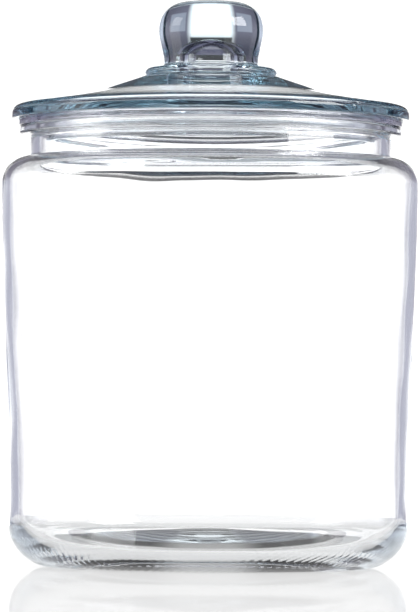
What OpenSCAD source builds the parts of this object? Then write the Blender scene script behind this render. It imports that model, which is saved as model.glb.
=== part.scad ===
// Round glass storage jar used as a coin bank: a pressed glass jar, a pressed
// glass lid whose ball knob is part of the same pressing, and a clear ring
// seal that is stretched over the lid's plug and grips the jar's bore.
//
// Millimetres, +Z up. The origin is the centre of the foot, on the surface
// that the jar stands on. Every piece is turned about the Z axis.

/* [Jar body] */
// Outside diameter at the shoulder, the widest place
body_d = 178; // [140:1:230]
// Amount that the wall's radius shrinks from the shoulder to the heel
foot_taper = 4.2; // [0:0.1:8]
// Height of the top of the shoulder, where the neck starts
shoulder_h = 173.4; // [120:0.1:260]
// Width of the shoulder, from the wall in to the neck
shoulder_w = 11.7; // [9:0.1:18]
// Outside radius of the heel, between the wall and the foot
heel_r = 18.6; // [12:0.2:24]
// Thickness of the wall
wall = 4; // [3:0.1:6]
// Thickness of the floor over the foot
floor_t = 7; // [5:0.1:12]
// Inside radius between the wall and the floor
heel_inner_r = 14; // [8:0.5:20]
// Inside radius between the shoulder and the wall
shoulder_inner_r = 7.6; // [5:0.2:10]

/* [Foot] */
// Distance from the heel's outside in to the push-up, the recess under the floor
push_up_inset = 24.8; // [20:0.2:40]
// Depth of the push-up at its centre
push_up_h = 4; // [2:0.1:6]
// Width of the slope around the push-up
push_up_slope = 8; // [4:0.5:12]
// Height that the inside of the floor rises to at its centre
floor_rise = 4; // [1:0.1:6]

/* [Neck and rim] */
// Length of the neck between the shoulder and the rim bead
neck_h = 9.2; // [6:0.1:20]
// Thickness of the neck's wall
neck_wall = 4.6; // [3.5:0.1:6]
// Width that the rim bead stands out from the neck
rim_lip = 4.3; // [2:0.1:7]
// Height of the rim bead
rim_h = 4; // [3:0.1:7]
// Radius on the edges of the rim
rim_round = 1.4; // [0.5:0.1:1.4]

/* [Lid] */
// Width that the lid's flange stands out past the rim bead
lid_lip = 3.4; // [1:0.1:8]
// Thickness of the flange at its edge
flange_t = 5.5; // [4.5:0.1:8]
// Height that the lid rises from the flange to the collar
dome_h = 13.8; // [10:0.1:24]
// Thickness of the glass under the dome
dome_t = 4.2; // [3:0.1:7]
// Depth that the plug reaches below the jar's rim
plug_reach = 7.6; // [6:0.1:14]
// Thickness of the plug's wall
plug_wall = 3.8; // [3:0.1:6]

/* [Knob] */
// Diameter of the knob at its widest
knob_d = 44.6; // [30:0.2:60]
// Amount that the knob's radius shrinks from its widest place to its neck
knob_waist = 2.3; // [0.5:0.1:5]
// Height of the knob above its collar
knob_h = 28.6; // [20:0.1:45]
// Radius on the top edge of the knob
knob_top_r = 11.4; // [6:0.1:13]
// Width that the collar stands out past the knob's neck
collar_lip = 8.4; // [5:0.1:16]
// Height of the collar
collar_h = 3; // [2:0.1:6]
// Diameter of the dimple that the plunger leaves under the knob
dimple_d = 20; // [10:0.5:28]
// Thickness of the glass between the dimple's top and the knob's top
knob_solid = 15; // [8:0.1:20]

/* [Seal] */
// Thickness of the seal's flange, between the lid and the rim
seal_t = 2.8; // [1.5:0.1:4]
// Width that the seal's flange stands out past the rim bead
seal_lip = 0.3; // [0:0.1:1.5]
// Thickness of the seal's sleeve, around the lid's plug
sleeve_t = 1.1; // [0.8:0.1:1.6]
// Number of fins around the sleeve
fin_n = 4; // [2:1:5]
// Thickness of a fin at its edge
fin_t = 0.5; // [0.3:0.05:0.6]
// Gap between the fins' edges and the jar's bore
fin_gap = 0.3; // [0.2:0.05:0.6]
// Reach of the fins from the sleeve
fin_reach = 1.3; // [0.8:0.1:2]

/* [Hidden] */

$fn = 96;

// Degrees that one straight facet of an outline's rounded corner spans
arc_step = 12;
// Share of a height or width that halves it
half = 0.5;

// Radii that the glass moulds leave in their corners
mould_r = 1.2;
fine_r = 0.8;
plug_fillet = 0.5;

body_r = body_d / 2;
foot_wall_r = body_r - foot_taper;
neck_r = body_r - shoulder_w;
bore_r = neck_r - neck_wall;
rim_r = neck_r + rim_lip;
rim_foot = shoulder_h + neck_h;
rim_top = rim_foot + rim_h;
shoulder_r = shoulder_w - fine_r;

// The wall bends a little where its straight taper starts and ends
taper_foot = heel_r * 2.3;
taper_top = shoulder_h - shoulder_r * 2.9;
taper_blend = 600;
// The neck is drawn in under the rim bead
tuck_depth = 1.1;
tuck_h = 1.6;
tuck_r = neck_r - tuck_depth;
// The bore opens into the shoulder below the neck
bore_foot = shoulder_h - wall * 0.72;
bore_foot_r = 3;
shoulder_in = shoulder_h - wall * 0.88;

push_up_r = foot_wall_r - push_up_inset;
push_up_flat_r = push_up_r - push_up_slope;
push_up_edge = push_up_h * 0.9;
push_up_blend = 6;
floor_r = push_up_flat_r + 2;
floor_blend = 10;

seal_top = rim_top + seal_t;
seal_r = rim_r + seal_lip;
seal_edge_r = seal_t / 5;
fin_r = bore_r - fin_gap;
sleeve_r = fin_r - fin_reach;
plug_r = sleeve_r - sleeve_t;
plug_foot = rim_top - plug_reach;
sleeve_lift = 0.8;
sleeve_foot = plug_foot + sleeve_lift;
sleeve_edge_r = 0.2;
// The fins share the sleeve's height under the rim evenly
fin_pitch = (rim_top - sleeve_foot) / fin_n;
fin_foot = sleeve_foot + (fin_pitch - fin_t * 2) * half;
// A fin's outline: reach and rise as shares of its reach and of its foot's height
fin_shape = [[0, 0], [1, 0.25], [1, 0.75], [0, 1]];

lid_r = rim_r + lid_lip;
flange_top = seal_top + flange_t;
flange_r = 3.6;
collar_foot = flange_top + dome_h;
collar_top = collar_foot + collar_h;
knob_r = knob_d / 2;
knob_neck_r = knob_r - knob_waist;
knob_top = collar_top + knob_h;
knob_crown = 0.5;
knob_side_r = knob_r * 0.63;
knob_widest = collar_top + knob_h * half;
knob_waist_z = collar_top + knob_h * 0.14;
knob_foot = collar_top + 1.1;
collar_r = knob_neck_r + collar_lip;
collar_edge_r = min(2, collar_h * half);
collar_side = collar_foot + 1.3;
collar_under = 0.9;
// The dome is steep under the collar and flatter outside its bend
bend_r = collar_r + (lid_r - collar_r) * 0.38;
bend_z = flange_top + dome_h * 0.46;
bend_blend = 25;
plug_inner_r = plug_r - plug_wall;
plug_roof = flange_top - dome_t;
plug_roof_r = 5;
bend_in_z = bend_z - dome_t;
dome_in_z = collar_foot - dome_t - 1;
dome_in_r = collar_r - 2.5;
mouth_step = 1.2;
mouth_z = dome_in_z + 1.6;
dimple_r = dimple_d / 2;
mouth_r = dimple_r + mouth_step;
dimple_foot = collar_foot + 2.5;
dimple_top = knob_top - knob_solid;
dimple_top_r = dimple_r * 0.8;
dimple_foot_r = 4;

// The rounded corner between the points before and after, as points on its arc.
// Each outline point is [radius, height, corner radius].
function unit(v) = v / norm(v);
function corner(before, at, after) =
    let (
        a = unit([before.x - at.x, before.y - at.y]),
        b = unit([after.x - at.x, after.y - at.y]),
        span = acos(max(-1, min(1, a * b)))
    )
    at.z <= 0 || span > 179.9 ? [[at.x, at.y]] :
    let (
        here = [at.x, at.y],
        start = here + a * at.z / tan(span / 2),
        centre = here + unit(a + b) * at.z / sin(span / 2),
        turn = (a.x * b.y - a.y * b.x > 0 ? -1 : 1) * (180 - span),
        from = atan2(start.y - centre.y, start.x - centre.x),
        steps = max(2, ceil(abs(turn) / arc_step))
    )
    [for (i = [0:steps])
        centre + at.z * [cos(from + turn * i / steps), sin(from + turn * i / steps)]];

function outline(points) =
    let (n = len(points))
    [for (i = [0:n - 1]) each corner(points[(i + n - 1) % n], points[i], points[(i + 1) % n])];

module turned(points) {
    rotate_extrude() polygon(outline(points));
}

// Pressed and blown body: push-up, heel, tapered wall, shoulder, neck and rim
// bead outside, then the bore, the inside of the shoulder, the wall and floor.
module jar_body() {
    color([0.80, 0.88, 0.89, 0.45])
    turned([
        [0, push_up_h, 0],
        [push_up_flat_r, push_up_edge, push_up_blend],
        [push_up_r, 0, mould_r],
        [foot_wall_r, 0, heel_r],
        [foot_wall_r, taper_foot, taper_blend],
        [body_r, taper_top, taper_blend],
        [body_r, shoulder_h, shoulder_r],
        [neck_r, shoulder_h, fine_r],
        [neck_r, rim_foot - tuck_h, fine_r],
        [tuck_r, rim_foot, fine_r],
        [rim_r, rim_foot, rim_round],
        [rim_r, rim_top, rim_round],
        [bore_r, rim_top, rim_round],
        [bore_r, bore_foot, bore_foot_r],
        [body_r - wall, shoulder_in, shoulder_inner_r],
        [body_r - wall, taper_top, taper_blend],
        [foot_wall_r - wall, taper_foot, taper_blend],
        [foot_wall_r - wall, floor_t, heel_inner_r],
        [floor_r, floor_t, floor_blend],
        [0, floor_t + floor_rise, 0]
    ]);
}

// Pressed lid: knob, collar, dome and flange above, then the plug, the inside
// of the dome and the dimple under the solid knob.
module lid() {
    color([0.72, 0.84, 0.86, 0.5])
    turned([
        [0, knob_top, 0],
        [knob_r, knob_top - knob_crown, knob_top_r],
        [knob_r, knob_widest, knob_side_r],
        [knob_neck_r, knob_waist_z, knob_side_r],
        [knob_neck_r, knob_foot, mould_r],
        [collar_r - collar_edge_r, collar_top, collar_edge_r],
        [collar_r, collar_side, fine_r],
        [collar_r - collar_under, collar_foot, plug_fillet],
        [bend_r, bend_z, bend_blend],
        [lid_r, flange_top, flange_r],
        [lid_r, seal_top, fine_r],
        [plug_r, seal_top, plug_fillet],
        [plug_r, plug_foot, mould_r],
        [plug_inner_r, plug_foot, mould_r],
        [plug_inner_r, plug_roof, plug_roof_r],
        [bend_r - 1, bend_in_z, bend_blend],
        [dome_in_r, dome_in_z, plug_roof_r],
        [mouth_r, mouth_z, 3],
        [dimple_r, dimple_foot, dimple_foot_r],
        [dimple_r, dimple_top, dimple_top_r],
        [0, dimple_top, 0]
    ]);
}

// Flexible ring seal: a flange between the lid and the rim, and a sleeve
// around the plug with thin fins that wipe the bore.
module lid_seal() {
    color([0.90, 0.91, 0.96, 0.7])
    turned(concat(
        [
            [plug_r, seal_top, plug_fillet + 0.1],
            [plug_r, sleeve_foot, 0],
            [sleeve_r, sleeve_foot, sleeve_edge_r]
        ],
        [for (i = [0:fin_n - 1], p = fin_shape)
            [sleeve_r + fin_reach * p.x, fin_foot + fin_pitch * i + fin_t * 2 * p.y, 0]],
        [
            [sleeve_r, rim_top, sleeve_edge_r],
            [seal_r, rim_top, seal_edge_r],
            [seal_r, seal_top, seal_edge_r]
        ]
    ));
}

jar_body();
lid();
lid_seal();
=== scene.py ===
"""Looks of a clear glass coin bank jar: the jar, its pressed lid and its ring seal.

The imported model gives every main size. Each piece is drawn here as a half section,
rounded at its corners, spun about the jar's axis and dressed with its own finish.
Lengths are named in millimetres and turned to metres where a mesh is made.
"""

import logging
import math
from dataclasses import dataclass, field
from enum import Enum
from typing import Callable, Iterator

import bmesh
import bpy
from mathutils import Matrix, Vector


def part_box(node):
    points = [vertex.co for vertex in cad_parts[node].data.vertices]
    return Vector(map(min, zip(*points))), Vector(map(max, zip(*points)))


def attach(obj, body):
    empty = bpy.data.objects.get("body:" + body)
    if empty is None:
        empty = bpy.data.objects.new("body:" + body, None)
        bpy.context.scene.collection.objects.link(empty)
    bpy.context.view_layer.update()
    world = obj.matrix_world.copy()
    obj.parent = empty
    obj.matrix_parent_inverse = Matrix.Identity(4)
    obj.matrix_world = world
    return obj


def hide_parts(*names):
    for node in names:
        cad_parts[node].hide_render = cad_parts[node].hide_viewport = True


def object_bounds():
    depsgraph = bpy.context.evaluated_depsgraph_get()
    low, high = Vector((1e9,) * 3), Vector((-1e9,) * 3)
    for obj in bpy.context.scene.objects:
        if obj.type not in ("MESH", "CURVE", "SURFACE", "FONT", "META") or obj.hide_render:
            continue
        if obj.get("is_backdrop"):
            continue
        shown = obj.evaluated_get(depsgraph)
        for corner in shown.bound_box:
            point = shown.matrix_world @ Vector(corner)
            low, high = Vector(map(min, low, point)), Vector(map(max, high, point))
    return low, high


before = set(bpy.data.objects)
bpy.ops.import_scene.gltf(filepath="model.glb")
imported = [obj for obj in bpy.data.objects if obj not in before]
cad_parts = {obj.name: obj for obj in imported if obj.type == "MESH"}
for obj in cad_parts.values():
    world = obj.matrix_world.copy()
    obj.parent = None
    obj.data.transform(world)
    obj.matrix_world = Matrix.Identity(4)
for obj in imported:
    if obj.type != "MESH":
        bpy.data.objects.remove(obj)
cad_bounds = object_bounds()

log = logging.getLogger("coin_bank_jar")

MM = 0.001
TURN = 2 * math.pi
SAME_PLACE = 1e-6  # metres: points nearer to each other than this are one point
ON_AXIS = 1e-7  # metres: how far a point of the axis may stand off it
PLUG_RADIUS = 70.0  # millimetres: the lid's plug, which the seal's sleeve goes round
MIX_FIRST, MIX_SECOND, MIX_RESULT = 6, 7, 2  # a Mix node's sockets for colours

Socket = bpy.types.NodeSocket
Colour = tuple[float, float, float, float]


class Body(Enum):
    """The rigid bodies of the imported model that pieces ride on."""

    JAR = "jar"
    LID = "lid"


class Slot(Enum):
    """The record's material slots."""

    JAR_GLASS = "jar_glass"
    LID_GLASS = "lid_glass"
    SEAL_PLASTIC = "seal_plastic"


# --------------------------------------------------------------------------- helpers


def linear(hex_colour: str) -> Colour:
    """Turn an sRGB hex colour to linear light.

    Args:
        hex_colour: Six hex digits, such as "c8cad8".

    Returns:
        Red, green, blue and an alpha of 1.
    """
    parts = [int(hex_colour[i : i + 2], 16) / 255 for i in (0, 2, 4)]
    bent = [c / 12.92 if c <= 0.04045 else ((c + 0.055) / 1.055) ** 2.4 for c in parts]
    return (bent[0], bent[1], bent[2], 1.0)


def grey(level: float) -> Colour:
    """Return a neutral colour of one linear level."""
    return (level, level, level, 1.0)


def add_node(
    tree: bpy.types.NodeTree, kind: str, inputs: dict | None = None, **settings: object
) -> bpy.types.Node:
    """Add a node, set its options and fill or link its inputs.

    Args:
        tree: The node tree that the node joins.
        kind: The node's type name.
        inputs: Input name or number to a plain value or to another node's output.
        **settings: Options of the node itself, such as operation.

    Returns:
        The new node.
    """
    node = tree.nodes.new(kind)
    for key, value in settings.items():
        setattr(node, key, value)
    for key, value in (inputs or {}).items():
        if isinstance(value, Socket):
            tree.links.new(value, node.inputs[key])
        else:
            node.inputs[key].default_value = value
    return node


def product(tree: bpy.types.NodeTree, first: Socket, *others: Socket | float) -> Socket:
    """Multiply masks and levels together.

    Args:
        tree: The node tree.
        first: The first mask.
        *others: What it is multiplied by, in turn.

    Returns:
        The product's socket.
    """
    for other in others:
        node = add_node(tree, "ShaderNodeMath", {0: first, 1: other}, operation="MULTIPLY")
        first = node.outputs[0]
    return first


def pasted(
    tree: bpy.types.NodeTree,
    base: Socket | Colour,
    layers: list[tuple[Socket | float, Socket | Colour]],
    blend: str = "MIX",
) -> Socket:
    """Lay colours over a base one after another.

    Args:
        tree: The node tree.
        base: The colour underneath.
        layers: Each layer's mask and colour, the lowest first.
        blend: How each layer is blended with what lies below it.

    Returns:
        The colour's socket.
    """
    for mask, colour in layers:
        inputs = {0: mask, MIX_FIRST: base, MIX_SECOND: colour}
        mix = add_node(tree, "ShaderNodeMix", inputs, data_type="RGBA", blend_type=blend)
        base = mix.outputs[MIX_RESULT]
    return base


def soft_edge(tree: bpy.types.NodeTree, value: Socket, clear: float, full: float) -> Socket:
    """Make a mask's edge: a smooth step up or down from clear to full.

    Args:
        tree: The node tree.
        value: The value that is stepped.
        clear: Value at which the mask reaches 0.
        full: Value at which the mask reaches 1.

    Returns:
        The mask's socket.
    """
    low, high = min(clear, full), max(clear, full)
    ends = (0.0, 1.0) if clear < full else (1.0, 0.0)
    return add_node(
        tree,
        "ShaderNodeMapRange",
        {"Value": value, "From Min": low, "From Max": high, "To Min": ends[0], "To Max": ends[1]},
        interpolation_type="SMOOTHSTEP",
    ).outputs[0]


def new_tree(owner: bpy.types.ID) -> bpy.types.NodeTree:
    """Give a material or world an empty node tree.

    Args:
        owner: The material or world.

    Returns:
        The empty tree.
    """
    owner.use_nodes = True
    owner.node_tree.nodes.clear()
    return owner.node_tree


def deselect_everything() -> None:
    """Leave object mode with nothing selected."""
    if bpy.context.object and bpy.context.object.mode != "OBJECT":
        bpy.ops.object.mode_set(mode="OBJECT")
    bpy.ops.object.select_all(action="DESELECT")


def select_points(piece: bpy.types.Object, test: Callable[[Vector], bool]) -> int:
    """Select the points of a piece in edit mode by their place.

    Args:
        piece: The mesh object that is in edit mode.
        test: Says from a point's place whether it is selected.

    Returns:
        How many points are selected.
    """
    bpy.ops.mesh.select_mode(type="VERT")
    mesh = bmesh.from_edit_mesh(piece.data)
    for point in mesh.verts:
        point.select = test(point.co)
    mesh.select_flush_mode()
    bmesh.update_edit_mesh(piece.data)
    return sum(point.select for point in mesh.verts)


# ---------------------------------------------------------------------- turned pieces


@dataclass(frozen=True)
class Corner:
    """One corner of a half section, in millimetres."""

    radius: float
    height: float
    rounding: float = 0.0

    def place(self) -> Vector:
        """Return the corner's place in metres, in the X-Z plane."""
        return Vector((self.radius * MM, 0, self.height * MM))


@dataclass
class TurnedPiece:
    """A closed body of revolution, drawn as a half section and spun about Z."""

    name: str
    node: str
    body: Body
    slot: Slot
    spin_steps: int = 360
    arc_degrees: float = 6.0
    small_rounding: float = 2.0
    longest_edge: float = 7.0
    most_cuts: int = 39
    crease_degrees: float = 40.0

    def section(self) -> list[Corner]:
        """Return the half section, from the axis round to the axis or closed."""
        raise NotImplementedError

    def build(self) -> bpy.types.Object:
        """Draw the section, round it, spin it and close it.

        Returns:
            The finished mesh object, at the origin.
        """
        corners = self.section()
        piece = self._draw(corners)
        self._round(piece, corners)
        self._open_axis(piece)
        self._divide_long_edges(piece)
        self._spin(piece)
        self.detail(piece)
        bpy.ops.mesh.select_all(action="SELECT")
        bpy.ops.mesh.normals_make_consistent(inside=False)
        bpy.ops.object.mode_set(mode="OBJECT")
        bpy.ops.object.shade_smooth_by_angle(angle=math.radians(self.crease_degrees))
        self.finish_mesh(piece)
        deselect_everything()
        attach(piece, self.body.value)
        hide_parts(self.node)
        return piece

    def detail(self, piece: bpy.types.Object) -> None:
        """Shape what breaks the turned form, in edit mode; nothing by default."""

    def finish_mesh(self, piece: bpy.types.Object) -> None:
        """Apply modifiers once the mesh is closed, in object mode; nothing by default."""

    def _draw(self, corners: list[Corner]) -> bpy.types.Object:
        """Draw the section's corners as one flat face.

        Args:
            corners: The section, in order.

        Returns:
            The new object, in edit mode.
        """
        deselect_everything()
        bpy.ops.mesh.primitive_plane_add(size=MM)
        piece = bpy.context.object
        piece.name = piece.data.name = self.name
        bpy.ops.object.mode_set(mode="EDIT")
        bpy.ops.mesh.select_all(action="SELECT")
        bpy.ops.mesh.merge(type="CENTER")
        bpy.ops.transform.translate(value=corners[0].place())
        for before, after in zip(corners, corners[1:]):
            step = after.place() - before.place()
            bpy.ops.mesh.extrude_vertices_move(TRANSFORM_OT_translate={"value": step})
        bpy.ops.mesh.select_all(action="SELECT")
        bpy.ops.mesh.edge_face_add()
        return piece

    def _round(self, piece: bpy.types.Object, corners: list[Corner]) -> None:
        """Bevel each corner that has a rounding, one at a time.

        Args:
            piece: The flat section, in edit mode.
            corners: The section that it was drawn from.
        """
        for i, corner in enumerate(corners):
            if corner.rounding <= 0:
                continue
            here = corner.place()
            back = (corners[i - 1].place() - here).normalized()
            ahead = (corners[(i + 1) % len(corners)].place() - here).normalized()
            opening = back.angle(ahead)
            turn = math.degrees(math.pi - opening)
            select_points(piece, lambda co, here=here: (co - here).length < SAME_PLACE)
            bpy.ops.mesh.bevel(
                affect="VERTICES",
                offset_type="OFFSET",
                offset=corner.rounding * MM / math.tan(opening / 2),
                segments=max(2, math.ceil(turn / self._arc_step(corner))),
                profile=0.5,
            )

    def _arc_step(self, corner: Corner) -> float:
        """Return the degrees that one facet of a corner spans, twice as many if it is small."""
        return self.arc_degrees if corner.rounding > self.small_rounding else 2 * self.arc_degrees

    def _open_axis(self, piece: bpy.types.Object) -> None:
        """Leave only the section's line, without its face or an edge on the axis.

        Args:
            piece: The rounded section, in edit mode.
        """
        bpy.ops.mesh.select_all(action="SELECT")
        bpy.ops.mesh.delete(type="ONLY_FACE")
        if select_points(piece, lambda co: abs(co.x) < ON_AXIS) == 2:
            bpy.ops.mesh.delete(type="EDGE_FACE")

    def _divide_long_edges(self, piece: bpy.types.Object) -> None:
        """Cut the straight runs so that no edge is longer than longest_edge.

        Args:
            piece: The section's line, in edit mode.
        """
        bpy.ops.mesh.select_mode(type="EDGE")
        for cuts in range(1, self.most_cuts + 1):
            mesh = bmesh.from_edit_mesh(piece.data)
            found = 0
            for edge in mesh.edges:
                wanted = math.ceil(edge.calc_length() / MM / self.longest_edge) - 1
                edge.select = wanted == cuts
                found += edge.select
            mesh.select_flush_mode()
            bmesh.update_edit_mesh(piece.data)
            if found:
                bpy.ops.mesh.subdivide(number_cuts=cuts)

    def _spin(self, piece: bpy.types.Object) -> None:
        """Spin the line a full turn about Z and merge where its ends meet.

        Args:
            piece: The section's line, in edit mode.
        """
        bpy.ops.mesh.select_mode(type="VERT")
        bpy.ops.mesh.select_all(action="SELECT")
        bpy.ops.mesh.spin(steps=self.spin_steps, angle=TURN, center=(0, 0, 0), axis=(0, 0, 1))
        bpy.ops.mesh.select_all(action="SELECT")
        bpy.ops.mesh.remove_doubles(threshold=SAME_PLACE)


def box_edge_and_top(node: str) -> tuple[float, float]:
    """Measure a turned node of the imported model.

    Args:
        node: The node's name.

    Returns:
        Its outer radius and the height of its top, in millimetres.
    """
    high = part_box(node)[1]
    return max(high[0], high[1]) / MM, high[2] / MM


def radius_of(co: Vector) -> float:
    """Return a place's distance from the jar's axis, in millimetres."""
    return math.hypot(co.x, co.y) / MM


@dataclass
class JarBody(TurnedPiece):
    """The pressed and blown jar: foot, tapered wall, shoulder, neck and rim bead.

    The wall widens from taper_foot_share heel roundings above the table to
    taper_top_share shoulder roundings below the shoulder. Its blown inside waves
    between still_floor below the floor's top and still_shoulder below the shoulder.
    """

    name: str = "glass_jar"
    node: str = "jar_body"
    body: Body = Body.JAR
    slot: Slot = Slot.JAR_GLASS
    foot_taper: float = 4.2
    foot_rounding: float = 1.2
    heel_rounding: float = 18.6
    heel_inner_rounding: float = 14.0
    wall: float = 4.0
    taper_blend: float = 600.0
    taper_foot_share: float = 2.3
    taper_top_share: float = 2.9
    shoulder_height: float = 173.4
    shoulder_width: float = 11.7
    shoulder_wall_share: float = 0.88
    shoulder_inner_rounding: float = 7.6
    floor: float = 7.0
    floor_rise: float = 4.0
    floor_overlap: float = 2.0
    floor_rounding: float = 10.0
    push_up: float = 4.0
    push_up_inset: float = 24.8
    push_up_slope: float = 8.0
    push_up_bow: float = 0.9
    push_up_rounding: float = 6.0
    neck_wall: float = 4.6
    neck_tuck: float = 1.1
    neck_tuck_height: float = 1.6
    bore_foot_share: float = 0.72
    bore_foot_rounding: float = 3.0
    rim_lip: float = 4.3
    rim_height: float = 4.0
    rim_rounding: float = 1.4
    mould_rounding: float = 0.8
    stipple_bars: int = 120
    stipple_inner_radius: float = 65.0
    stipple_outer_radius: float = 74.5
    stipple_highest: float = 3.0
    stipple_groove_share: float = 0.45
    stipple_slant: float = 0.35
    stipple_depth: float = 0.35
    waviness: float = 0.3
    wave_length: float = 30.0
    still_floor: float = 1.0
    still_shoulder: float = 6.0

    def section(self) -> list[Corner]:
        """Draw the half section from the push-up round to the inside of the floor.

        Returns:
            The section's corners, in order.
        """
        edge, top = box_edge_and_top(self.node)
        shoulder, wall = self.shoulder_height, self.wall
        foot, neck = edge - self.foot_taper, edge - self.shoulder_width
        push_up = foot - self.push_up_inset
        flat = push_up - self.push_up_slope
        taper_foot, taper_top = self._taper_ends()
        bore, rim_foot = neck - self.neck_wall, top - self.rim_height
        bore_foot = shoulder - wall * self.bore_foot_share
        hollow_top = shoulder - wall * self.shoulder_wall_share
        return [
            Corner(0, self.push_up),
            Corner(flat, self.push_up * self.push_up_bow, self.push_up_rounding),
            Corner(push_up, 0, self.foot_rounding),
            Corner(foot, 0, self.heel_rounding),
            Corner(foot, taper_foot, self.taper_blend),
            Corner(edge, taper_top, self.taper_blend),
            Corner(edge, shoulder, self.shoulder_width - self.mould_rounding),
            Corner(neck, shoulder, self.mould_rounding),
            Corner(neck, rim_foot - self.neck_tuck_height, self.mould_rounding),
            Corner(neck - self.neck_tuck, rim_foot, self.mould_rounding),
            Corner(neck + self.rim_lip, rim_foot, self.rim_rounding),
            Corner(neck + self.rim_lip, top, self.rim_rounding),
            Corner(bore, top, self.rim_rounding),
            Corner(bore, bore_foot, self.bore_foot_rounding),
            Corner(edge - wall, hollow_top, self.shoulder_inner_rounding),
            Corner(edge - wall, taper_top, self.taper_blend),
            Corner(foot - wall, taper_foot, self.taper_blend),
            Corner(foot - wall, self.floor, self.heel_inner_rounding),
            Corner(flat + self.floor_overlap, self.floor, self.floor_rounding),
            Corner(0, self.floor + self.floor_rise),
        ]

    def detail(self, piece: bpy.types.Object) -> None:
        """Press the ring of small bars that the jar stands on into the foot.

        Args:
            piece: The jar, in edit mode.
        """
        bar = TURN / self.stipple_bars
        highest = self.stipple_highest * MM

        def in_groove(co: Vector) -> bool:
            """Say whether a point of the foot lies between two slanted bars.

            Args:
                co: The point's place, in metres.

            Returns:
                True in a groove.
            """
            radius = radius_of(co)
            inside = self.stipple_inner_radius < radius < self.stipple_outer_radius
            turned = math.atan2(co.y, co.x) / bar
            slanted = turned + (radius - self.stipple_inner_radius) * self.stipple_slant
            return inside and co.z < highest and slanted % 1 < self.stipple_groove_share

        select_points(piece, in_groove)
        bpy.ops.transform.translate(value=(0, 0, self.stipple_depth * MM))

    def finish_mesh(self, piece: bpy.types.Object) -> None:
        """Let the blown inside wander a little, as it does in the real wall.

        Args:
            piece: The closed jar, in object mode.
        """
        edge, _ = box_edge_and_top(self.node)
        low = (self.floor - self.still_floor) * MM
        high = (self.shoulder_height - self.still_shoulder) * MM
        inside = [
            point.index
            for point in piece.data.vertices
            if low < point.co.z < high
            and radius_of(point.co) < self._mid_wall(edge, point.co.z / MM)
        ]
        group = piece.vertex_groups.new(name="blown_inside")
        group.add(inside, 1.0, "REPLACE")
        clouds = bpy.data.textures.new("blown_wall", type="CLOUDS")
        clouds.noise_scale = self.wave_length * MM
        clouds.noise_depth = 1
        wave = piece.modifiers.new("blown_wall", "DISPLACE")
        wave.texture = clouds
        wave.texture_coords = "LOCAL"
        wave.strength = self.waviness * MM
        wave.mid_level = 0.5
        wave.vertex_group = group.name
        bpy.ops.object.modifier_apply(modifier=wave.name)
        log.info("%s: %d points of the inside moved", self.name, len(inside))

    def _taper_ends(self) -> tuple[float, float]:
        """Return where the wall's taper starts and ends.

        Returns:
            The two heights, in millimetres, the lower one first.
        """
        shoulder_rounding = self.shoulder_width - self.mould_rounding
        low = self.heel_rounding * self.taper_foot_share
        high = self.shoulder_height - shoulder_rounding * self.taper_top_share
        return low, high

    def _mid_wall(self, edge: float, height: float) -> float:
        """Return the radius of the middle of the wall's thickness.

        Args:
            edge: The jar's greatest radius, in millimetres.
            height: Height above the foot, in millimetres.

        Returns:
            The radius, in millimetres.
        """
        low, high = self._taper_ends()
        narrowing = max(0.0, min(1.0, (high - height) / (high - low)))
        return edge - self.foot_taper * narrowing - self.wall / 2


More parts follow.
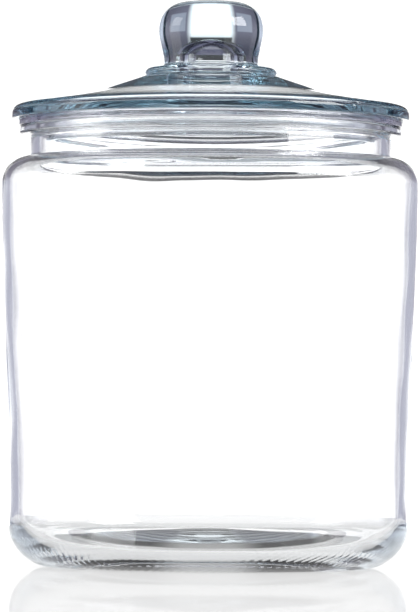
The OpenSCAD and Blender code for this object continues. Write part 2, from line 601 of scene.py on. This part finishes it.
@dataclass
class Lid(TurnedPiece):
    """The pressed lid: solid ball knob, collar, dome, flange and centring plug.

    The dome bends at bend_share of the way from the collar to the edge. Its underside,
    the roof, opens through a flare into the dimple, which leaves the knob's top solid.
    """

    name: str = "glass_lid"
    node: str = "lid"
    body: Body = Body.LID
    slot: Slot = Slot.LID_GLASS
    knob_radius: float = 22.3
    knob_waist: float = 2.3
    knob_height: float = 28.6
    knob_crown: float = 0.5
    knob_rounding: float = 11.4
    knob_side: float = 14.0
    knob_widest_share: float = 0.5
    knob_narrowest_share: float = 0.14
    knob_foot: float = 1.1
    knob_foot_rounding: float = 1.2
    knob_solid: float = 15.0
    collar_lip: float = 8.4
    collar_height: float = 3.0
    collar_top_rounding: float = 1.5
    collar_rounding: float = 0.8
    undercut: float = 0.9
    undercut_height: float = 1.3
    undercut_rounding: float = 0.5
    flange: float = 5.5
    flange_rounding: float = 3.6
    flange_foot_rounding: float = 0.8
    dome: float = 13.8
    dome_wall: float = 4.2
    dome_inner_rounding: float = 5.0
    bend_share: float = 0.38
    bend_rise: float = 0.46
    bend_blend: float = 25.0
    bend_inset: float = 1.0
    plug_radius: float = PLUG_RADIUS
    plug_wall: float = 3.8
    plug_fillet: float = 0.5
    plug_rounding: float = 1.2
    roof_drop: float = 1.0
    roof_inset: float = 2.5
    dimple_radius: float = 10.0
    dimple_top_rounding: float = 8.0
    dimple_foot: float = 2.5
    dimple_foot_rounding: float = 4.0
    flare: float = 1.2
    flare_rise: float = 1.6
    flare_rounding: float = 3.0
    seam_degrees: float = -45.0
    seam_half_width_degrees: float = 0.3
    seam_inset: float = 1.0
    seam_height: float = 0.3
    seam_rise_share: float = 0.3

    def section(self) -> list[Corner]:
        """Draw the half section from the knob's top round to the dimple's top.

        Returns:
            The section's corners, in order.
        """
        edge, top = box_edge_and_top(self.node)
        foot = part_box(self.node)[0][2] / MM
        seat = box_edge_and_top("lid_seal")[1]
        knob, neck = self.knob_radius, self.knob_radius - self.knob_waist
        collar_top = top - self.knob_height
        collar_foot = collar_top - self.collar_height
        collar = neck + self.collar_lip
        flange_top = seat + self.flange
        bend = collar + (edge - collar) * self.bend_share
        bend_z = flange_top + self.dome * self.bend_rise
        plug, inside = self.plug_radius, self.plug_radius - self.plug_wall
        roof = collar_foot - self.dome_wall - self.roof_drop
        dimple, dimple_top = self.dimple_radius, top - self.knob_solid
        widest = collar_top + self.knob_height * self.knob_widest_share
        narrowest = collar_top + self.knob_height * self.knob_narrowest_share
        return [
            Corner(0, top),
            Corner(knob, top - self.knob_crown, self.knob_rounding),
            Corner(knob, widest, self.knob_side),
            Corner(neck, narrowest, self.knob_side),
            Corner(neck, collar_top + self.knob_foot, self.knob_foot_rounding),
            Corner(collar - self.collar_top_rounding, collar_top, self.collar_top_rounding),
            Corner(collar, collar_foot + self.undercut_height, self.collar_rounding),
            Corner(collar - self.undercut, collar_foot, self.undercut_rounding),
            Corner(bend, bend_z, self.bend_blend),
            Corner(edge, flange_top, self.flange_rounding),
            Corner(edge, seat, self.flange_foot_rounding),
            Corner(plug, seat, self.plug_fillet),
            Corner(plug, foot, self.plug_rounding),
            Corner(inside, foot, self.plug_rounding),
            Corner(inside, flange_top - self.dome_wall, self.dome_inner_rounding),
            Corner(bend - self.bend_inset, bend_z - self.dome_wall, self.bend_blend),
            Corner(collar - self.roof_inset, roof, self.dome_inner_rounding),
            Corner(dimple + self.flare, roof + self.flare_rise, self.flare_rounding),
            Corner(dimple, collar_foot + self.dimple_foot, self.dimple_foot_rounding),
            Corner(dimple, dimple_top, self.dimple_top_rounding),
            Corner(0, dimple_top),
        ]

    def detail(self, piece: bpy.types.Object) -> None:
        """Raise the line that the mould's joint leaves across the dome and flange.

        Args:
            piece: The lid, in edit mode.
        """
        seam = math.radians(self.seam_degrees)
        half_width = math.radians(self.seam_half_width_degrees)
        innermost = self.plug_radius + self.seam_inset
        lowest = box_edge_and_top("lid_seal")[1] * MM - SAME_PLACE

        def on_seam(co: Vector) -> bool:
            """Say whether a point of the flange lies on the mould's joint."""
            near = abs(math.atan2(co.y, co.x) - seam) < half_width
            return near and radius_of(co) > innermost and co.z > lowest

        select_points(piece, on_seam)
        height = self.seam_height * MM
        bpy.ops.transform.translate(
            value=(
                height * math.cos(seam),
                height * math.sin(seam),
                height * self.seam_rise_share,
            )
        )


@dataclass
class Seal(TurnedPiece):
    """The flexible ring: a flange under the lid and a sleeve with thin fins.

    A fin's outline is given as shares of its reach and of its height.
    """

    name: str = "ring_seal"
    node: str = "lid_seal"
    body: Body = Body.LID
    slot: Slot = Slot.SEAL_PLASTIC
    arc_degrees: float = 15.0
    plug_radius: float = PLUG_RADIUS
    gap: float = 0.02
    mouth_rounding: float = 0.6
    flange_rounding: float = 0.56
    sleeve: float = 1.1
    sleeve_rounding: float = 0.2
    fins: int = 4
    fin_height: float = 1.0
    fin_reach: float = 1.3
    fin_outline: tuple[tuple[float, float], ...] = ((0, 0), (1, 0.25), (1, 0.75), (0, 1))

    def section(self) -> list[Corner]:
        """Draw the closed half section of flange, sleeve and fins.

        Returns:
            The section's corners, in order.
        """
        edge, top = box_edge_and_top(self.node)
        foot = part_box(self.node)[0][2] / MM
        rim = box_edge_and_top("jar_body")[1] + self.gap
        inner = self.plug_radius + self.gap
        outer = inner + self.sleeve
        pitch = (rim - foot) / self.fins
        start = foot + (pitch - self.fin_height) / 2
        fins = [
            Corner(outer + self.fin_reach * reach, start + pitch * i + self.fin_height * rise)
            for i in range(self.fins)
            for reach, rise in self.fin_outline
        ]
        return [
            Corner(inner, top - self.gap, self.mouth_rounding),
            Corner(inner, foot),
            Corner(outer, foot, self.sleeve_rounding),
            *fins,
            Corner(outer, rim, self.sleeve_rounding),
            Corner(edge, rim, self.flange_rounding),
            Corner(edge, top - self.gap, self.flange_rounding),
        ]


# --------------------------------------------------------------------------- finishes


@dataclass(frozen=True)
class SodaLimeGlass:
    """Clear soda-lime glass, pressed and fire polished.

    A trace of iron turns thick glass blue green, which shows along the rims, and the
    polished skin keeps slow ripples from the mould that bend what is seen through it.
    """

    name: str
    tint: str
    tint_density: float
    ripple_height: float
    ripple_size: float = 14.0
    ripple_detail: float = 1.5
    ripple_drawn_down: float = 0.4
    ior: float = 1.52
    haze: float = 0.012
    haze_size: float = 30.0
    haze_detail: float = 3.0
    haze_starts: float = 0.45
    haze_full: float = 0.8

    def material(self) -> bpy.types.Material:
        """Build the glass: clear surface, tinted inside, softly rippled skin.

        Returns:
            The new material.
        """
        made = bpy.data.materials.new(self.name)
        tree = new_tree(made)
        place = add_node(tree, "ShaderNodeTexCoord").outputs["Object"]
        drawn = add_node(
            tree,
            "ShaderNodeMapping",
            {"Vector": place, "Scale": (1, 1, self.ripple_drawn_down)},
        )
        ripple = add_node(
            tree,
            "ShaderNodeTexNoise",
            {
                "Vector": drawn.outputs[0],
                "Scale": 1 / (self.ripple_size * MM),
                "Detail": self.ripple_detail,
            },
        )
        bump = add_node(
            tree,
            "ShaderNodeBump",
            {"Height": ripple.outputs[0], "Strength": 1.0, "Distance": self.ripple_height * MM},
        )
        haze = add_node(
            tree,
            "ShaderNodeTexNoise",
            {"Vector": place, "Scale": 1 / (self.haze_size * MM), "Detail": self.haze_detail},
        )
        rough = add_node(
            tree,
            "ShaderNodeMapRange",
            {
                "Value": haze.outputs[0],
                "From Min": self.haze_starts,
                "From Max": self.haze_full,
                "To Max": self.haze,
            },
        )
        skin = {"IOR": self.ior, "Roughness": rough.outputs[0], "Normal": bump.outputs[0]}
        return dressed(made, skin, self.tint, self.tint_density)


@dataclass(frozen=True)
class FlexibleVinyl:
    """Clear flexible plastic, moulded: softer than glass to the eye, a little violet.

    Its grain is finer than shows in the render, and only breaks up the highlights.
    """

    name: str
    tint: str = "dfdeea"
    tint_density: float = 40.0
    ior: float = 1.5
    smoothest: float = 0.04
    roughest: float = 0.08
    grain_size: float = 0.8
    grain_detail: float = 2.0
    grain_height: float = 0.01
    grain_strength: float = 0.3

    def material(self) -> bpy.types.Material:
        """Build the plastic: slightly hazy surface with a fine moulded grain.

        Returns:
            The new material.
        """
        made = bpy.data.materials.new(self.name)
        tree = new_tree(made)
        place = add_node(tree, "ShaderNodeTexCoord").outputs["Object"]
        grain = add_node(
            tree,
            "ShaderNodeTexNoise",
            {"Vector": place, "Scale": 1 / (self.grain_size * MM), "Detail": self.grain_detail},
        )
        bump = add_node(
            tree,
            "ShaderNodeBump",
            {
                "Height": grain.outputs[0],
                "Strength": self.grain_strength,
                "Distance": self.grain_height * MM,
            },
        )
        rough = add_node(
            tree,
            "ShaderNodeMapRange",
            {"Value": grain.outputs[0], "To Min": self.smoothest, "To Max": self.roughest},
        )
        skin = {"IOR": self.ior, "Roughness": rough.outputs[0], "Normal": bump.outputs[0]}
        return dressed(made, skin, self.tint, self.tint_density)


def dressed(
    made: bpy.types.Material,
    skin: dict[str, Socket | float],
    tint: str,
    density: float,
) -> bpy.types.Material:
    """Finish a clear material: a see-through skin around a tinted inside.

    Args:
        made: The material, whose tree already holds its patterns.
        skin: The surface's inputs: IOR, Roughness and Normal.
        tint: Colour that the inside lets through, as sRGB hex.
        density: How fast the inside takes on its colour, per metre.

    Returns:
        The same material.
    """
    tree = made.node_tree
    surface = add_node(
        tree,
        "ShaderNodeBsdfPrincipled",
        {"Base Color": grey(1.0), "Transmission Weight": 1.0, **skin},
    )
    inside = add_node(
        tree, "ShaderNodeVolumeAbsorption", {"Color": linear(tint), "Density": density}
    )
    add_node(
        tree,
        "ShaderNodeOutputMaterial",
        {"Surface": surface.outputs[0], "Volume": inside.outputs[0]},
    )
    return made


@dataclass(frozen=True)
class LightTable:
    """White acrylic sheet lit from below, polished, with a painted shadow under the jar's foot.

    The sheet is painted dark under the push-up, where no light gets through, with a painted
    lighter gap in its middle, and mirrors more at a low angle of view.
    """

    name: str = "lit_acrylic_table"
    glow: float = 0.68
    paint: float = 0.25
    gloss: float = 0.36
    ior: float = 1.45
    smoothest: float = 0.02
    roughest: float = 0.04
    patch_size: float = 60.0
    shade_radius: float = 58.0
    shade_edge: float = 2.0
    shade_darkest: float = 0.01
    gap_half_width: float = 26.0
    gap_core_share: float = 0.3
    gap_light: float = 0.6

    def material(self) -> bpy.types.Material:
        """Build the sheet: even glow, painted shade under the push-up, thin clear polish.

        Returns:
            The new material.
        """
        made = bpy.data.materials.new(self.name)
        tree = new_tree(made)
        place = add_node(tree, "ShaderNodeTexCoord").outputs["Object"]
        patch = add_node(
            tree, "ShaderNodeTexNoise", {"Vector": place, "Scale": 1 / (self.patch_size * MM)}
        )
        rough = add_node(
            tree,
            "ShaderNodeMapRange",
            {"Value": patch.outputs[0], "To Min": self.smoothest, "To Max": self.roughest},
        )
        # Painted shadow of the jar's foot: it takes away the sheet's paint, glow and polish under
        # the push-up.
        shade = self._shade(tree, place)
        paint = pasted(tree, grey(0.0), [(shade, grey(self.paint))])
        glow = product(tree, shade, self.glow)
        body = add_node(
            tree,
            "ShaderNodeAddShader",
            {
                0: add_node(tree, "ShaderNodeBsdfDiffuse", {"Color": paint}).outputs[0],
                1: add_node(tree, "ShaderNodeEmission", {"Strength": glow}).outputs[0],
            },
        )
        polish = add_node(tree, "ShaderNodeBsdfGlossy", {"Roughness": rough.outputs[0]})
        grazing = add_node(tree, "ShaderNodeFresnel", {"IOR": self.ior}).outputs[0]
        # The painted shade also removes the polish's reflection under the push-up.
        share = product(tree, grazing, self.gloss, shade)
        top = add_node(
            tree, "ShaderNodeMixShader", {0: share, 1: body.outputs[0], 2: polish.outputs[0]}
        )
        add_node(tree, "ShaderNodeOutputMaterial", {"Surface": top.outputs[0]})
        return made

    def _shade(self, tree: bpy.types.NodeTree, place: Socket) -> Socket:
        """Make the painted shadow that stands for the shade of the jar's foot.

        Args:
            tree: The sheet's node tree.
            place: The place on the sheet.

        Returns:
            A mask of painted shade, 1 in the open and near 0 under the push-up, painted lighter in
            its middle.
        """
        away = add_node(tree, "ShaderNodeVectorMath", {0: place}, operation="LENGTH")
        ring = soft_edge(
            tree,
            away.outputs["Value"],
            (self.shade_radius - self.shade_edge) * MM,
            (self.shade_radius + self.shade_edge) * MM,
        )
        # A painted lighter strip across the middle of the painted shadow.
        across = add_node(tree, "ShaderNodeSeparateXYZ", {0: place}).outputs[0]
        side = add_node(tree, "ShaderNodeMath", {0: across}, operation="ABSOLUTE").outputs[0]
        core = self.gap_half_width * self.gap_core_share
        gap = soft_edge(tree, side, self.gap_half_width * MM, core * MM)
        shade = ring
        for other in (product(tree, gap, self.gap_light), self.shade_darkest):
            shade = add_node(
                tree, "ShaderNodeMath", {0: shade, 1: other}, operation="MAXIMUM"
            ).outputs[0]
        return shade


# ----------------------------------------------------------------------------- studio


@dataclass(frozen=True)
class Stop:
    """One stop of a colour ramp: an angle in degrees, a colour and its strength."""

    degrees: float
    colour: str
    strength: float = 1.0


@dataclass(frozen=True)
class SoftBox:
    """A card with straight edges, bright or dark, seen only through the glass.

    Its direction, width, heights and blur are in degrees, as seen from the jar.
    """

    direction: float
    half_width: float
    lowest: float
    highest: float
    power: float
    blur: float = 1.0


@dataclass
class Studio:
    """The camera, the lit table and the room of cards that the glass bends and mirrors.

    Directions in the room are degrees round from straight behind the jar, and heights
    are degrees above the level. Fades across the room are in half turns, and fades up
    and down are in sines of the height, from the clear end to the full one.
    """

    camera_distance: float = 1869.0
    camera_height: float = 63.3
    camera_tilt: float = 1.458
    camera_side: float = 0.5
    camera_roll: float = -0.36
    lens: float = 258.7
    sensor: float = 36.0
    bounces: int = 32
    table_radius: float = 450.0
    table_drop: float = 0.05
    table_sides: int = 128
    strength: float = 1.8
    backdrop: float = 1.15
    walls: tuple[Stop, ...] = (
        Stop(0, "ffffff"),
        Stop(15, "ffffff"),
        Stop(20, "8f8b9c", 0.5),
        Stop(50, "7f7b8c", 0.5),
        Stop(53, "0f2530", 0.5),
        Stop(57, "0f2530", 0.5),
        Stop(61, "d8dae8", 0.8),
        Stop(74, "d8dae8", 0.8),
        Stop(80, "c8cad8", 0.55),
        Stop(105, "c8cad8", 0.5),
        Stop(125, "8a8a96", 0.5),
        Stop(180, "8a8a96", 0.5),
    )
    heights: tuple[Stop, ...] = (
        Stop(-90, "ffffff"),
        Stop(5, "ffffff"),
        Stop(11, "ffffff", 0.7),
        Stop(18, "e4e2f0", 0.5),
        Stop(26, "8a8696", 0.5),
        Stop(36, "6c6a80", 0.6),
        Stop(90, "6c6a80", 0.6),
    )
    boxes: tuple[SoftBox, ...] = (
        SoftBox(-113, 17, 8, 38, 5.0),
        SoftBox(95, 12, 8, 32, 2.0),
        SoftBox(0, 17, 9.5, 30, 0.04),
    )
    card_outer: float = 18.0
    card_inner: float = 12.0
    side_card: float = 90.0
    low_card: float = 225.0
    low_card_grey: float = 0.6
    low_card_fade: tuple[float, float] = (-0.087, -0.156)
    edge_colour: str = "8c8d99"
    edge_from: float = 20.0
    edge_to: float = 39.0
    edge_fade_in: float = 0.011
    edge_fade_out: float = 0.017
    edge_foot_fade: tuple[float, float] = (-0.242, -0.208)
    edge_top_fade: tuple[float, float] = (0.077, 0.056)

    def place_camera(self) -> None:
        """Put the camera in front of the jar, low and looking slightly up."""
        data = bpy.data.cameras.new("camera")
        data.lens = self.lens
        data.sensor_width = self.sensor
        camera = bpy.data.objects.new("camera", data)
        camera.location = (
            self.camera_side * MM,
            -self.camera_distance * MM,
            self.camera_height * MM,
        )
        camera.rotation_euler = (
            math.radians(90 + self.camera_tilt),
            math.radians(self.camera_roll),
            0,
        )
        bpy.context.scene.collection.objects.link(camera)
        bpy.context.scene.camera = camera

    def lay_table(self) -> None:
        """Lay the round lit sheet that the jar stands on."""
        deselect_everything()
        bpy.ops.mesh.primitive_circle_add(
            vertices=self.table_sides,
            radius=self.table_radius * MM,
            fill_type="NGON",
            location=(0, 0, -self.table_drop * MM),
        )
        table = bpy.context.object
        table.name = "table"
        bpy.ops.object.transform_apply(location=True)
        table.data.materials.append(LightTable().material())
        table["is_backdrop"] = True

    def light(self) -> None:
        """Make the room: plain white to the eye, cards and dark gaps to the glass."""
        world = bpy.data.worlds.new("studio")
        bpy.context.scene.world = world
        tree = new_tree(world)
        way = add_node(tree, "ShaderNodeTexCoord").outputs["Generated"]
        split = add_node(tree, "ShaderNodeSeparateXYZ", {0: way}).outputs
        flat = add_node(tree, "ShaderNodeCombineXYZ", {0: split[0], 1: split[1]}).outputs[0]
        level = add_node(tree, "ShaderNodeVectorMath", {0: flat}, operation="NORMALIZE").outputs[0]
        room = self._walls(tree, level, split[2])
        boxes = [(self._hung(tree, level, split[2], box), grey(box.power)) for box in self.boxes]
        room = pasted(tree, room, boxes)
        seen = add_node(tree, "ShaderNodeBackground", {"Color": room, "Strength": self.strength})
        plain = add_node(
            tree, "ShaderNodeBackground", {"Color": grey(1.0), "Strength": self.backdrop}
        )
        ray = add_node(tree, "ShaderNodeLightPath").outputs
        scattered = add_node(
            tree, "ShaderNodeMath", {0: ray["Diffuse Depth"], 1: 0.5}, operation="GREATER_THAN"
        ).outputs[0]
        soft = add_node(
            tree, "ShaderNodeMath", {0: ray["Is Camera Ray"], 1: scattered}, operation="MAXIMUM"
        ).outputs[0]
        mixed = add_node(
            tree, "ShaderNodeMixShader", {0: soft, 1: seen.outputs[0], 2: plain.outputs[0]}
        )
        add_node(tree, "ShaderNodeOutputWorld", {"Surface": mixed.outputs[0]})

    def set_render(self) -> None:
        """Let light pass through many skins of glass, and keep white as it is lit."""
        scene = bpy.context.scene
        scene.view_settings.view_transform = "Standard"
        scene.cycles.max_bounces = self.bounces
        scene.cycles.transmission_bounces = self.bounces
        scene.cycles.glossy_bounces = self.bounces

    def _walls(self, tree: bpy.types.NodeTree, level: Socket, rise: Socket) -> Socket:
        """Colour the room's walls, darker with height.

        Args:
            tree: The world's node tree.
            level: The level part of the direction looked in.
            rise: The upward part of the direction looked in.

        Returns:
            The colour's socket.
        """
        behind = self._towards(tree, level, 0.0)
        angle = add_node(tree, "ShaderNodeMath", {0: behind}, operation="ARCCOSINE").outputs[0]
        turn = product(tree, angle, 1 / math.pi)
        room = self._ramp(tree, turn, [(stop.degrees / 180, stop) for stop in self.walls])
        start, end = self.edge_from / 180, self.edge_to / 180
        edge = product(
            tree,
            soft_edge(tree, turn, start, start + self.edge_fade_in),
            soft_edge(tree, turn, end + self.edge_fade_out, end),
            soft_edge(tree, rise, *self.edge_foot_fade),
            soft_edge(tree, rise, *self.edge_top_fade),
        )
        low = product(
            tree,
            soft_edge(tree, rise, *self.low_card_fade),
            self._card(tree, level, self.low_card),
        )
        cards = [
            (self._card(tree, level, self.side_card), grey(1.0)),
            (edge, linear(self.edge_colour)),
            (low, grey(self.low_card_grey)),
        ]
        room = pasted(tree, room, cards)
        height = add_node(
            tree, "ShaderNodeMapRange", {"Value": rise, "From Min": -1.0, "From Max": 1.0}
        ).outputs[0]
        places = [(0.5 + 0.5 * math.sin(math.radians(stop.degrees)), stop) for stop in self.heights]
        dimming = self._ramp(tree, height, places)
        return pasted(tree, room, [(1.0, dimming)], "MULTIPLY")

    def _hung(
        self, tree: bpy.types.NodeTree, level: Socket, rise: Socket, box: SoftBox
    ) -> Socket:
        """Hang one soft box in the room.

        Args:
            tree: The world's node tree.
            level: The level part of the direction looked in.
            rise: The upward part of the direction looked in.
            box: The soft box.

        Returns:
            A mask that is 1 within the box.
        """
        outer = math.cos(math.radians(box.half_width + box.blur))
        inner = math.cos(math.radians(box.half_width - box.blur))
        masks = [soft_edge(tree, self._towards(tree, level, box.direction), outer, inner)]
        for edge, blur in ((box.lowest, box.blur), (box.highest, -box.blur)):
            clear = math.sin(math.radians(edge - blur))
            full = math.sin(math.radians(edge + blur))
            masks.append(soft_edge(tree, rise, clear, full))
        return product(tree, *masks)

    def _card(self, tree: bpy.types.NodeTree, level: Socket, direction: float) -> Socket:
        """Stand a card in one direction.

        Args:
            tree: The world's node tree.
            level: The level part of the direction looked in.
            direction: The card's direction, in degrees round the room.

        Returns:
            A mask that is 1 across the card and 0 away from it.
        """
        outer = math.cos(math.radians(self.card_outer))
        inner = math.cos(math.radians(self.card_inner))
        return soft_edge(tree, self._towards(tree, level, direction), outer, inner)

    def _towards(self, tree: bpy.types.NodeTree, level: Socket, direction: float) -> Socket:
        """Compare the level direction with one round the room.

        Args:
            tree: The world's node tree.
            level: The level part of the direction looked in.
            direction: The direction compared with, in degrees round the room.

        Returns:
            The cosine of the angle between the two.
        """
        turn = math.radians(direction)
        way = (-math.sin(turn), math.cos(turn), 0)
        found = add_node(
            tree, "ShaderNodeVectorMath", {0: level, 1: way}, operation="DOT_PRODUCT"
        )
        return found.outputs["Value"]

    def _ramp(
        self, tree: bpy.types.NodeTree, value: Socket, places: list[tuple[float, Stop]]
    ) -> Socket:
        """Colour a value by a row of stops.

        Args:
            tree: The world's node tree.
            value: The value, from 0 to 1.
            places: Each stop and its place from 0 to 1, in rising order.

        Returns:
            The colour's socket.
        """
        ramp = add_node(tree, "ShaderNodeValToRGB", {0: value})
        elements = ramp.color_ramp.elements
        elements[0].position = places[0][0]
        elements[1].position = places[-1][0]
        for place, _ in places[1:-1]:
            elements.new(place)
        for element, (_, stop) in zip(elements, places):
            colour = linear(stop.colour)
            element.color = (*(part * stop.strength for part in colour[:3]), 1.0)
        return ramp.outputs[0]


@dataclass
class CoinBankJar:
    """The whole object: its pieces and the finish that each one wears."""

    pieces: list[TurnedPiece] = field(default_factory=lambda: [JarBody(), Lid(), Seal()])
    finishes: dict[Slot, SodaLimeGlass | FlexibleVinyl] = field(
        default_factory=lambda: {
            Slot.JAR_GLASS: SodaLimeGlass(
                "blown_soda_lime_glass", tint="c0dfee", tint_density=4.0, ripple_height=0.012
            ),
            Slot.LID_GLASS: SodaLimeGlass(
                "pressed_soda_lime_glass", tint="a6c8d4", tint_density=16.0, ripple_height=0.006
            ),
            Slot.SEAL_PLASTIC: FlexibleVinyl("moulded_clear_vinyl"),
        }
    )

    def build(self) -> Iterator[bpy.types.Object]:
        """Build and dress every piece in turn.

        Yields:
            Each finished object.
        """
        for part in self.pieces:
            piece = part.build()
            piece.data.materials.append(self.finishes[part.slot].material())
            yield piece


def main() -> None:
    """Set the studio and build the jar."""
    logging.basicConfig(level=logging.INFO, format="%(name)s: %(message)s")
    studio = Studio()
    studio.place_camera()
    studio.lay_table()
    studio.light()
    studio.set_render()
    for piece in CoinBankJar().build():
        log.info("%s: %d faces", piece.name, len(piece.data.polygons))
    boxes = [[[float(v) for v in corner] for corner in box] for box in (cad_bounds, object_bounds())]


if __name__ == "__main__":
    main()
